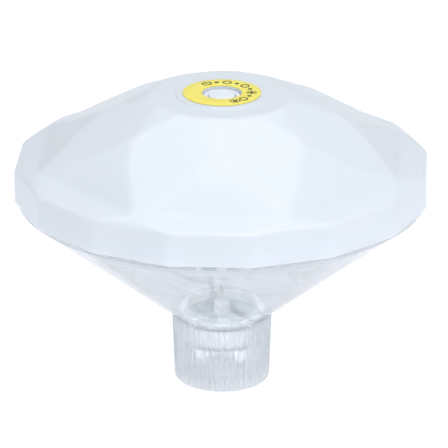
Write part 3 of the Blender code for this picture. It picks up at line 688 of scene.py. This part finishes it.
def cone_cavity():
    """Room inside the cone: flat facets that meet in corners, like the underside of a cut gem."""
    def inner_point(radius, angle, lift=0.0):
        return polar(radius, angle, cone_height(radius) + CONE_WALL_Z + lift)

    half, count = SECTOR / 2, 2 * SECTORS
    bm = bmesh.new()
    rim = [bm.verts.new(inner_point(SPIGOT_BORE, half * j)) for j in range(count)]
    upper = [bm.verts.new(inner_point(GEM_UPPER, SECTOR * i, GEM_LIFT)) for i in range(SECTORS)]
    lower = [bm.verts.new(inner_point(GEM_LOWER, half * j)) for j in range(count)]
    neck = [bm.verts.new(inner_point(NECK_BORE + 0.4, half * j)) for j in range(count)]
    for i in range(SECTORS):
        here, after, before = 2 * i, (2 * i + 1) % count, (2 * i - 1) % count
        ahead = (i + 1) % SECTORS
        bm.faces.new([rim[before], rim[here], upper[i]])
        bm.faces.new([rim[here], rim[after], upper[i]])
        bm.faces.new([rim[after], upper[ahead], lower[after], upper[i]])
        bm.faces.new([upper[i], lower[here], lower[before]])
        bm.faces.new([upper[i], lower[after], lower[here]])
    for j in range(count):
        k = (j + 1) % count
        bm.faces.new([lower[j], lower[k], neck[k], neck[j]])
    bm.faces.new(rim)
    bm.faces.new(list(reversed(neck)))
    bmesh.ops.recalc_face_normals(bm, faces=bm.faces)
    spigot_top = CONE_HIGH.z + 1.0
    bore_low = cone_height(SPIGOT_BORE) + CONE_WALL_Z - 0.6
    bore = turned([(0, bore_low), (SPIGOT_BORE - 1.5, bore_low), (SPIGOT_BORE, bore_low + 1.2),
                   (SPIGOT_BORE, spigot_top), (0, spigot_top)], 192)
    neck_top = cone_height(NECK_BORE) + CONE_WALL_Z + 0.6
    neck_bore = turned([(0, NECK_END - 1), (NECK_BORE, NECK_END - 1), (NECK_BORE, neck_top),
                        (0, neck_top)])
    return joined(joined(bm, bore), neck_bore)


def make_cone():
    """Clear cone with its flange, its spigot inside the cover, and the lugs of both bayonets."""
    outline = [
        (0, NECK_END), (NECK_OUTER, NECK_END), (NECK_OUTER, NECK_Z), (CAP_RADIUS, NECK_Z),
        (FLANGE_RADIUS, SEAM - FLANGE_THICKNESS), (FLANGE_RADIUS, SEAM), (SPIGOT_OUTER, SEAM),
        (SPIGOT_OUTER, CONE_HIGH.z), (0, CONE_HIGH.z),
    ]
    shell = cut(turned(rounded(outline, 0.35), 256), cone_cavity())
    lugs = []
    inner, outer = SPIGOT_OUTER - 0.8, COVER_BORE - 0.4
    for a in COVER_LUGS:
        shelf_end, stop_end = a - COVER_LUG_HALF - 2.0, a - COVER_LUG_HALF - 0.25
        lugs.append(arc_block(inner, outer, SEAM + 5.3, SEAM + 7.2, shelf_end, a + COVER_LUG_HALF))
        lugs.append(arc_block(inner, outer, SEAM + 3.2, SEAM + 6.0, shelf_end, stop_end, 3))
    inner, outer = NECK_OUTER - 0.6, CAP_BORE - 0.4
    for a in NECK_LUGS:
        stop_start, shelf_end = a + NECK_LUG_HALF + 1.0, a + NECK_LUG_HALF + 3.0
        lugs.append(arc_block(inner, outer, 20.7, 22.5, a - NECK_LUG_HALF, shelf_end))
        lugs.append(arc_block(inner, outer, 21.5, CAP_LUG_TOP, stop_start, shelf_end, 3))
    for lug in lugs:
        shell = joined(shell, lug)
    show("clear_cone", shell, "hull", CLEAR_CONE, ("lower_shell",),
         smooth_angle=6.0)


# ---------------------------------------------------------------- ribbed cap

def make_cap():
    """Clear cap whose wall is a ring of rounded ribs, fading out above the foot."""
    top = CAP_HIGH.z
    foot_radius = CAP_RADIUS - CAP_TAPER
    outline = [
        (0, 0), (FOOT_FLAT, 0), (foot_radius, 0.0), (foot_radius, 4.0), (CAP_RADIUS, top),
        (CAP_BORE, top), (CAP_BORE - 0.5, CAP_FLOOR), (10.2, CAP_FLOOR), (10.0, 1.9), (0, 1.9),
    ]

    def ribbed(angle, radius, z):
        if radius < CAP_BORE + 0.6 or z < RIB_START:
            return radius
        wave = abs(math.sin(math.radians(angle * RIBS / 2)))
        return radius - RIB_DEPTH * (1.0 - wave) * min(1.0, (z - RIB_START) / RIB_FADE)

    shell = turned(rounded(outline, FOOT_ROUNDING, 8), RIBS * RIB_STEPS, ribbed)
    lugs = [arc_block(NECK_OUTER + GAP, CAP_BORE + 0.4, CAP_LUG_LOW, CAP_LUG_TOP,
                      a - NECK_LUG_HALF, a + NECK_LUG_HALF) for a in NECK_LUGS]
    shell = joined(shell, *lugs)
    show("ribbed_cap", shell, "cap", CLEAR_CAP, ("lens_cap",), smooth_angle=30.0)


# ---------------------------------------------------------------- label and button

def make_label():
    ring = [(LABEL_BORE, LABEL_LOW.z), (LABEL_HIGH.x, LABEL_LOW.z),
            (LABEL_HIGH.x, LABEL_HIGH.z), (LABEL_BORE, LABEL_HIGH.z)]
    show("printed_label", turned(rounded(ring, 0.1, 2), 160), "cover", YELLOW,
         ("label_ring",))


def make_marks():
    """Plain printed symbols along the back of the ring: a power sign, then dots, rings and suns."""
    def bar(width, start, end):
        return prism([(-width / 2, start), (width / 2, start), (width / 2, end), (-width / 2, end)],
                     MARK_LOW, MARK_TOP)

    def rotated(bm, turn):
        bmesh.ops.rotate(bm, verts=bm.verts, matrix=Matrix.Rotation(turn, 3, "Z"))
        return bm

    def power():
        radius = 2.1
        arc = arc_block(radius - MARK_STROKE, radius, MARK_LOW, MARK_TOP, 215.0, 505.0, 20)
        return [arc, bar(MARK_STROKE, -0.1, 2.4)]

    def dot():
        return [rod(0, 0, 0.9, MARK_LOW, MARK_TOP)]

    def loop():
        outer = 1.9
        inner = outer - MARK_STROKE
        return [turned([(inner, MARK_LOW), (outer, MARK_LOW), (outer, MARK_TOP), (inner, MARK_TOP)],
                       24)]

    def sun():
        rays = [rotated(bar(0.5, 1.35, 2.3), k * math.tau / 8) for k in range(8)]
        return [rod(0, 0, 1.0, MARK_LOW, MARK_TOP)] + rays

    signs = [power, dot, loop, dot, loop, dot, sun, dot, loop, sun]
    marks = []
    for k, sign in enumerate(signs):
        angle = FIRST_MARK - MARK_STEP * k
        mark = rotated(gathered(sign()), math.radians(angle - 180))
        spot = polar(MARK_CIRCLE, angle, 0)
        marks.append(moved(mark, spot.x, spot.y))
    show("printed_marks", gathered(marks), "cover", INK)


def make_button():
    radius, top, low = BUTTON_HIGH.x, BUTTON_HIGH.z, BUTTON_LOW.z
    crown = 0.25
    dome = [(radius * k / 8, top - crown * (k / 8) ** 2) for k in range(8)]
    outline = dome + [(radius, top - crown), (radius, low), (0, low)]
    show("push_button", turned(rounded(outline, 0.5, 5)), "button", BUTTON,
         ("power_button",))


def make_boot():
    """Silicone boot under the button, with a collar that fills the gap round it."""
    low, high = corners_mm("button_boot")
    collar_z, collar_bore = high.z + 1.2, BUTTON_HIGH.x + 0.35
    outline = [
        (0, high.z - 0.8), (4.2, high.z - 0.8), (6.0, low.z), (high.x, low.z), (high.x, collar_z),
        (collar_bore, collar_z), (collar_bore, high.z), (0, high.z),
    ]
    boot = show("silicone_boot", turned(rounded(outline, 0.3, 3)), "cover", SILICONE,
                ("button_boot",))
    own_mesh(boot)


# ---------------------------------------------------------------- lamp

def make_lamp():
    """White tube that holds the two boards and the LEDs."""
    bore = HOUSING_HIGH.x - 2.8
    ledge, ledge_low, ledge_top = bore - 1.6, 19.2, 26.4
    outer = HOUSING_HIGH.x - 1.3
    outline = [
        (bore, HOUSING_LOW.z), (outer, HOUSING_LOW.z), (outer, HOUSING_HIGH.z - 1.4),
        (HOUSING_HIGH.x, HOUSING_HIGH.z - 1.0), (HOUSING_HIGH.x, HOUSING_HIGH.z),
        (bore, HOUSING_HIGH.z), (bore, ledge_top), (ledge, ledge_top), (ledge, ledge_low),
        (bore, ledge_low),
    ]
    show("led_housing", turned(rounded(outline, 0.25, 3), 128), "hull", HOUSING,
         ("lamp_housing",))
    for node, name, paint, slot in (("led_board", "led_disc", HOUSING, "white_plastic"),
                                    ("driver_board", "driver_disc", BOARD, "board_green")):
        low, high = corners_mm(node)
        disc = [(0, low.z), (high.x, low.z), (high.x, high.z), (0, high.z)]
        show(name, turned(rounded(disc, 0.12, 2), 128), "hull", paint, (node,))
    for k in range(4):
        low, high = corners_mm(f"led_{k + 1}")
        middle = (low + high) / 2
        radius, flange, flange_low = 2.5, 2.9, high.z - 1.0
        dome = [(radius * math.sin(t), low.z + radius * (1 - math.cos(t)))
                for t in (i * math.pi / 20 for i in range(11))]
        bulb = dome + [(radius, flange_low), (flange, flange_low), (flange, high.z), (0, high.z)]
        show(f"led_bulb_{k + 1}", moved(turned(bulb, 40), middle.x, middle.y), "hull", LED_CLEAR,
             (f"led_{k + 1}",))


def make_seals():
    """The round ring on the neck, and the flat one under the cover's rim."""
    low, high = corners_mm("neck_seal")
    seal_radius = (high.z - low.z) / math.sqrt(3)
    ring = [(high.x - seal_radius + seal_radius * math.cos(t),
             (low.z + high.z) / 2 + seal_radius * math.sin(t))
            for t in (k * math.tau / 16 for k in range(16))]
    show("neck_ring", turned(ring, 128), "hull", SILICONE, ("neck_seal",),
         smooth_angle=60.0)
    low, high = corners_mm("rim_seal")
    inner = high.x - 2.4
    ring = [(inner, low.z), (high.x, low.z), (high.x, high.z), (inner, high.z)]
    show("rim_ring", turned(rounded(ring, 0.6, 4), 192), "hull", SILICONE,
         ("rim_seal",), smooth_angle=60.0)


def make_driver_parts():
    """Chip with its legs, a small can capacitor and the socket of the lamp's lead."""
    low, high = corners_mm("driver_chip")
    chip = softened(block(low, high), 0.15)
    show("chip_body", chip, "hull", CHIP, ("driver_chip",))
    legs = []
    first, pitch, width, thickness = 0.6, 1.25, 0.45, 0.3
    for near, far in ((low.y - 0.9, low.y - 0.05), (high.y + 0.05, high.y + 0.9)):
        for k in range(4):
            x = low.x + first + pitch * k
            legs.append(block((x, near, low.z), (x + width, far, low.z + thickness)))
    show("chip_legs", gathered(legs), "hull", STEEL)
    low, high = corners_mm("driver_capacitor")
    middle, radius = (low + high) / 2, (high.x - low.x) / 2
    can = [(0, low.z), (radius, low.z), (radius, high.z), (radius * 0.75, high.z),
           (radius * 0.72, high.z - 0.15), (0, high.z - 0.15)]
    show("capacitor_can", moved(turned(rounded(can, 0.3, 3), 48), middle.x, middle.y), "hull",
         STEEL, ("driver_capacitor",))
    low, high = corners_mm("lead_socket")
    ring = [(2.4, low.z), (3.4, low.z), (3.4, high.z), (2.4, high.z)]
    show("socket_ring", turned(rounded(ring, 0.25, 3), 64), "hull", HOUSING,
         ("lead_socket",))


def make_lead():
    """The lamp's pair of wires, from the switch board through the deck to the plug in the neck."""
    board_low = corners_mm("switch_board")[0].z
    grommet_low, grommet_high = corners_mm("lead_grommet")
    x = (grommet_low.x + grommet_high.x) / 2
    for k, shift in ((1, -0.8), (2, 0.8)):
        route = [(-15.5, 4 * shift, board_low - GAP), (-17.0, 4 * shift, 108.0),
                 (-26.0, 2.4 * shift, 104.8), (-36.0, 1.4 * shift, 101.5), (-41.0, shift, 94.4),
                 (x, shift, DECK_HIGH.z + 0.4), (x, shift, DECK_HIGH.z - 3.6), (-41.0, shift, 74.5),
                 (-36.0, shift, 62.0), (-27.0, shift, 50.5), (-15.0, shift, 43.2),
                 (-5.0, shift, 40.6), (-0.6, shift, 39.4), (0, shift, 37.6)]
        show(f"lead_wire_{k}", tube(route, 0.6), "cover", WIRE_GREY,
             (f"lamp_wire_{k}",), smooth_angle=60.0)
    low, high = corners_mm("lead_plug")
    plug = [(0, low.z), (2.1, low.z), (2.1, 35.0), (1.9, high.z), (0, high.z)]
    show("plug_body", turned(rounded(plug, 0.3, 3), 48), "cover", HOUSING,
         ("lead_plug",))
    bore, groove, lip = 1.8, 2.9, 4.4
    low, high = grommet_low.z, grommet_high.z
    ring = [(bore, low), (lip, low), (lip, low + 1.0), (groove, low + 1.0), (groove, high - 1.0),
            (lip, high - 1.0), (lip, high), (bore, high)]
    show("grommet_ring", moved(turned(rounded(ring, 0.3, 3), 48), x), "cover", RUBBER,
         ("lead_grommet",))


# ---------------------------------------------------------------- deck and battery door

def make_deck():
    """Round plate with two rails under it that hold the battery door."""
    radius, top = DECK_HIGH.x, DECK_HIGH.z
    low = top - DECK_THICKNESS
    plate = turned(rounded([(0, low), (radius, low), (radius, top), (0, top)], 0.5, 3), 192)
    rail_root, shelf = low + 0.5, DOOR_HIGH.z - DOOR_THICKNESS - GAP
    rails = []
    for side in (-1, 1):
        inner, outer = side * (DOOR_HIGH.y + GAP), side * (DOOR_HIGH.y + 2.2)
        lip = side * (DOOR_HIGH.y - 1.6)
        profile = [(inner, rail_root), (inner, shelf), (lip, shelf),
                   (lip, DECK_LOW.z), (outer, DECK_LOW.z), (outer, rail_root)]
        rails.append(bar_along_x(profile, -RAIL_HALF, RAIL_HALF))
    plate = joined(plate, *rails)
    half_x, half_y = BOX_HALF
    hole = (low - 1, top + 1)
    holes = [block((-half_x, -half_y, hole[0]), (half_x, half_y, hole[1])),
             rod(LEAD_HOLE_X, 0, 3.2, *hole)]
    holes += [rod(*polar(POST_CIRCLE, a, 0).xy, 1.6, *hole) for a in POST_ANGLES]
    holes += [rod(side * BOX_SCREW_X, 0, 1.3, *hole) for side in (-1, 1)]
    show("deck_disc", softened(cut(plate, *holes), 0.2, 60.0, 1), "cover", WHITE,
         ("deck_plate",))
    for k, angle in enumerate(POST_ANGLES):
        show(f"pan_screw_{k + 1}", screw(angle, low - GAP, top + 7.0), "cover", STEEL,
             (f"deck_screw_{k + 1}",))


def screw(angle, head_z, tip_z):
    """Pan-head screw whose head faces down, with a cross recess."""
    head, shank = 2.4, 1.0
    outline = [(0, head_z - 1.4), (1.7, head_z - 1.4), (head, head_z - 0.6), (head, head_z),
               (shank, head_z), (shank, tip_z - 1.0), (0, tip_z)]
    shape = turned(rounded(outline, 0.3, 3), 40)
    for x, y in ((1.3, 0.28), (0.28, 1.3)):
        shape = cut(shape, block((-x, -y, head_z - 2), (x, y, head_z - 0.6)))
    spot = polar(POST_CIRCLE, angle, 0)
    return moved(shape, spot.x, spot.y)


def make_door():
    low = DOOR_HIGH.z - DOOR_THICKNESS
    door = block((DOOR_LOW.x, DOOR_LOW.y, low), DOOR_HIGH)
    half_width, half_length = 0.6, 9.0
    for x in DOOR_RIDGES:
        door = joined(door, block((x - half_width, -half_length, DOOR_LOW.z),
                                  (x + half_width, half_length, low + 0.5)))
    show("cell_door", softened(door, 0.25), "door", WHITE, ("battery_door",))


# ---------------------------------------------------------------- stage, lights and camera

def make_stage():
    """Plain pale floor, partly lit by itself so that it stays even."""
    bm = bmesh.new()
    bmesh.ops.create_grid(bm, x_segments=8, y_segments=8, size=4000)
    moved(bm, z=-0.2)
    bmesh.ops.scale(bm, vec=(MM, MM, MM), verts=bm.verts)
    floor = raw_object("floor", bm)
    material = plastic("floor_white", (0.20, 0.20, 0.20), (0.22, 0.22, 0.22),
                       (0.7, 0.8), 3, 400, 0.02)
    material.node_tree.nodes["Principled BSDF"].inputs["Specular IOR Level"].default_value = 0
    glowing(material, FLOOR_GLOW, (0.93, 0.95, 1, 1))
    floor.data.materials.append(material)


def area_light(name, angle, elevation, distance, size, power, colour):
    target = Vector((0, 0, AIM_HEIGHT * MM))
    data = bpy.data.lights.new(name, "AREA")
    data.shape = "SQUARE"
    data.size = size
    data.energy = power
    data.color = colour
    light = bpy.data.objects.new(name, data)
    bpy.context.scene.collection.objects.link(light)
    lift = math.radians(elevation)
    away = polar(math.cos(lift), angle, math.sin(lift))
    light.location = target + away * distance
    light.rotation_mode = "QUATERNION"
    light.rotation_quaternion = away.to_track_quat("Z", "Y")


def make_lights():
    area_light("key", angle=22, elevation=57, distance=1.6, size=1.1, power=13.9,
               colour=(0.97, 0.985, 1.0))
    area_light("top", angle=190, elevation=75, distance=1.7, size=1.2, power=9.0,
               colour=(0.95, 0.98, 1.0))
    world = bpy.data.worlds.new("studio")
    bpy.context.scene.world = world
    world.use_nodes = True
    background = world.node_tree.nodes["Background"]
    background.inputs["Color"].default_value = (0.94, 0.965, 1.0, 1)
    background.inputs["Strength"].default_value = 0.35


def make_camera():
    """Long lens, a little above the light. The aim point puts it where the frame needs it."""
    azimuth, elevation = 3.25, math.radians(21.44)
    radii_away = 18.45
    distance = radii_away * RIM_RADIUS * MM
    frame_width, sensor = 448.0, 36.0
    pixels_per_radius = 208.2
    aim_down, aim_right = 35.4, 2.1
    away = polar(math.cos(elevation), azimuth, math.sin(elevation))
    right = polar(1, azimuth + 90, 0)
    up = away.cross(right)
    per_pixel = RIM_RADIUS * MM / pixels_per_radius
    target = (Vector((0, 0, AIM_HEIGHT * MM)) - up * (aim_down * per_pixel)
              + right * (aim_right * per_pixel))
    data = bpy.data.cameras.new("camera")
    data.sensor_width = sensor
    data.lens = pixels_per_radius * radii_away / frame_width * sensor
    data.clip_start, data.clip_end = 0.05, 50
    camera = bpy.data.objects.new("camera", data)
    bpy.context.scene.collection.objects.link(camera)
    camera.location = target + away * distance
    camera.rotation_mode = "QUATERNION"
    camera.rotation_quaternion = away.to_track_quat("Z", "Y")
    bpy.context.scene.camera = camera
    bpy.context.scene.view_settings.view_transform = "Standard"


def main():
    make_camera()
    dress_cad_nodes()
    make_cover()
    make_cone()
    make_cap()
    make_label()
    make_marks()
    make_button()
    make_boot()
    make_lamp()
    make_driver_parts()
    make_seals()
    make_lead()
    make_deck()
    make_door()
    make_stage()
    make_lights()


main()
